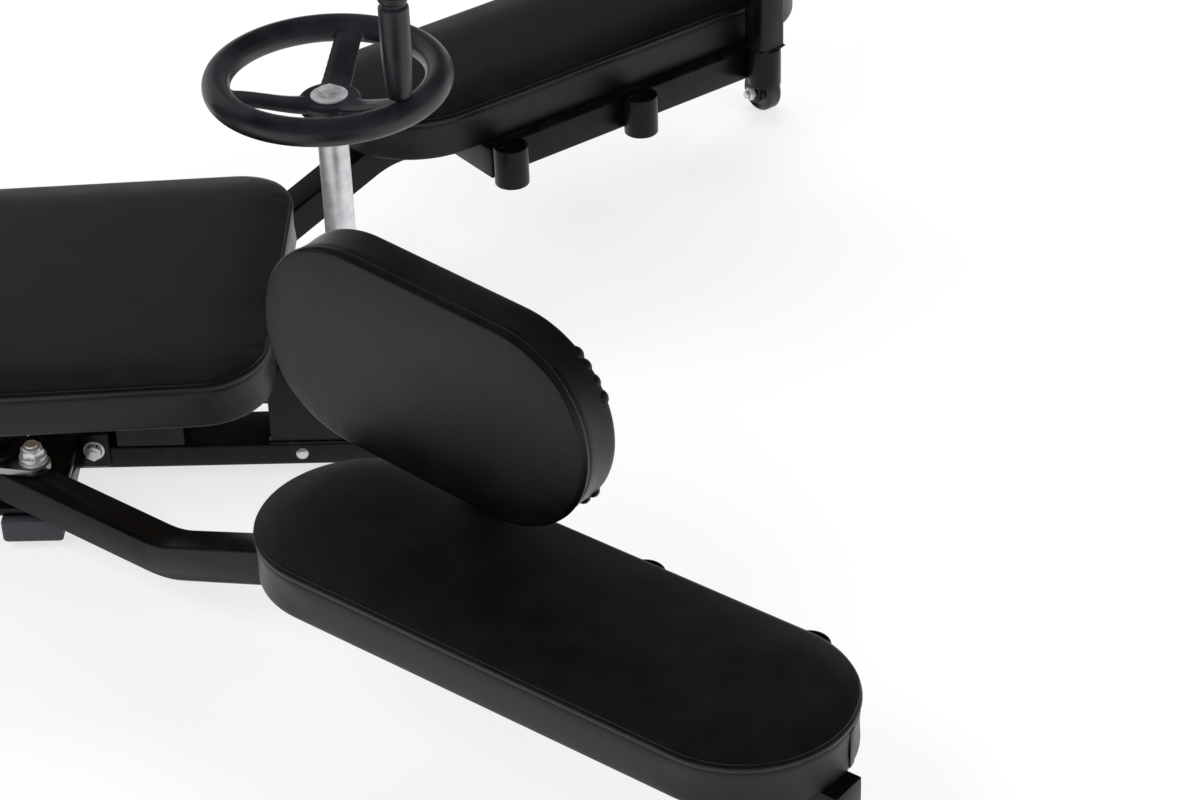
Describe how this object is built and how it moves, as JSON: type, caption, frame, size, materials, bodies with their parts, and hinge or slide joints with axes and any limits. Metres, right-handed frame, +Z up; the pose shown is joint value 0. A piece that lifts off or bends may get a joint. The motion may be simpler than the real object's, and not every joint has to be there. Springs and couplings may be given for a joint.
{
  "type": "leg stretching machine",
  "caption": "Floor-standing leg stretching machine: padded seat with backrest and padded legs that a handwheel spreads apart through a screw, racks and gears.",
  "frame": {"origin": "on the floor under the handwheel's axis, at the centre of the foot below the column", "axes": "+X forward from the seat to the user's feet, +Y to the user's left, +Z up"},
  "size_m": [1.5743, 1.7794, 0.7895],
  "materials": {
    "paint": "fine black powder coat, semi-gloss",
    "vinyl": "black grained vinyl, satin",
    "zinc": "zinc plated, lightly worn",
    "steel": "machined steel, oiled",
    "grey_plastic": "bluish grey moulded plastic, matt",
    "black_plastic": "black moulded plastic, fine texture",
    "rubber": "black rubber, matt",
    "plywood": "bare plywood"
  },
  "bodies": {
    "base": {"main_beam": "paint", "beam_front_cap": "grey_plastic", "column_foot": "rubber", "rear_foot_tube": "paint", "hinge_tube_left": "paint", "hinge_cap_left": "grey_plastic", "hinge_foot_left": "rubber", "rear_foot_left": "grey_plastic", "hinge_tube_right": "paint", "hinge_cap_right": "grey_plastic", "hinge_foot_right": "rubber", "rear_foot_right": "grey_plastic", "hinge_plate_lower": "paint", "hinge_plate_upper": "paint", "pivot_bolt_left": "paint", "pivot_bolt_right": "paint", "gear_housing": "paint", "screw_bearing": "paint", "seat_support_front": "paint", "seat_support_rear": "paint", "seat_board": "plywood", "seat_pad": "vinyl", "backrest_bracket": "paint", "backrest_pin": "zinc"},
    "lead_screw": {"lead_screw": "steel", "screw_bevel_gear": "steel"},
    "rack_carriage": {"rack_carriage": "steel"},
    "handwheel": {"shaft_bevel_gear": "steel", "drive_shaft": "zinc", "handwheel": "black_plastic", "hub_bolt": "zinc", "grip_pin": "zinc"},
    "crank_grip": {"crank_grip": "black_plastic"},
    "left_leg": {"left_leg_arm": "paint", "left_sector_gear": "steel", "left_sector_bolt": "zinc", "left_socket_rail": "paint", "left_pad_board": "plywood", "left_leg_pad": "vinyl", "left_castor_fork": "paint", "left_castor_axle": "zinc"},
    "left_castor": {"left_castor_wheel": "black_plastic"},
    "left_upright": {"left_upright_post": "paint", "left_upright_pad": "vinyl"},
    "right_leg": {"right_leg_arm": "paint", "right_sector_gear": "steel", "right_sector_bolt": "zinc", "right_socket_rail": "paint", "right_pad_board": "plywood", "right_leg_pad": "vinyl", "right_castor_fork": "paint", "right_castor_axle": "zinc"},
    "right_castor": {"right_castor_wheel": "black_plastic"},
    "right_upright": {"right_upright_post": "paint", "right_upright_pad": "vinyl"},
    "backrest": {"backrest_spine": "paint", "backrest_clamp": "black_plastic", "backrest_pad": "vinyl"}
  },
  "joints": [
    {"name": "left_leg_swing", "type": "hinge", "parent": "base", "child": "left_leg", "pos_m": [-0.4, 0.137, 0.085], "axis": [0, 0, 1], "range_deg": [-20, 45]},
    {"name": "right_leg_swing", "type": "hinge", "parent": "base", "child": "right_leg", "pos_m": [-0.4, -0.137, 0.085], "axis": [0, 0, 1], "range_deg": [-45, 20]},
    {"name": "rack_carriage_slide", "type": "slide", "parent": "base", "child": "rack_carriage", "axis": [1, 0, 0], "range_m": [-0.021, 0.0472]},
    {"name": "lead_screw_spin", "type": "hinge", "parent": "base", "child": "lead_screw", "pos_m": [-0.2, 0, 0.093], "axis": [1, 0, 0], "range_deg": [-1414, 629]},
    {"name": "handwheel_spin", "type": "hinge", "parent": "base", "child": "handwheel", "pos_m": [0, 0, 0.4], "axis": [0, 0, 1], "range_deg": [-1414, 629]},
    {"name": "crank_grip_spin", "type": "hinge", "parent": "handwheel", "child": "crank_grip", "pos_m": [0.08488, -0.0767, 0.58], "axis": [0, 0, 1], "continuous": true},
    {"name": "left_castor_spin", "type": "hinge", "parent": "left_leg", "child": "left_castor", "pos_m": [0.50863, 0.84684, 0.029], "axis": [0.7923, 0.6101, 0], "continuous": true},
    {"name": "right_castor_spin", "type": "hinge", "parent": "right_leg", "child": "right_castor", "pos_m": [0.50863, -0.84684, 0.029], "axis": [0.7923, -0.6101, 0], "continuous": true},
    {"name": "left_upright_lift", "type": "slide", "parent": "left_leg", "child": "left_upright", "axis": [0, 0, 1], "range_m": [0, 0.04]},
    {"name": "right_upright_lift", "type": "slide", "parent": "right_leg", "child": "right_upright", "axis": [0, 0, 1], "range_m": [0, 0.04]},
    {"name": "backrest_recline", "type": "hinge", "parent": "base", "child": "backrest", "pos_m": [-0.566, 0, 0.176], "axis": [0, 1, 0], "range_deg": [-45, 8]}
  ],
  "couplings": [
    {"joint": "right_leg_swing", "follows": "left_leg_swing", "ratio": -1},
    {"joint": "rack_carriage_slide", "follows": "left_leg_swing", "m_per_rad": 0.06},
    {"joint": "lead_screw_spin", "follows": "left_leg_swing", "ratio": -31.416},
    {"joint": "handwheel_spin", "follows": "left_leg_swing", "ratio": -31.416}
  ]
}
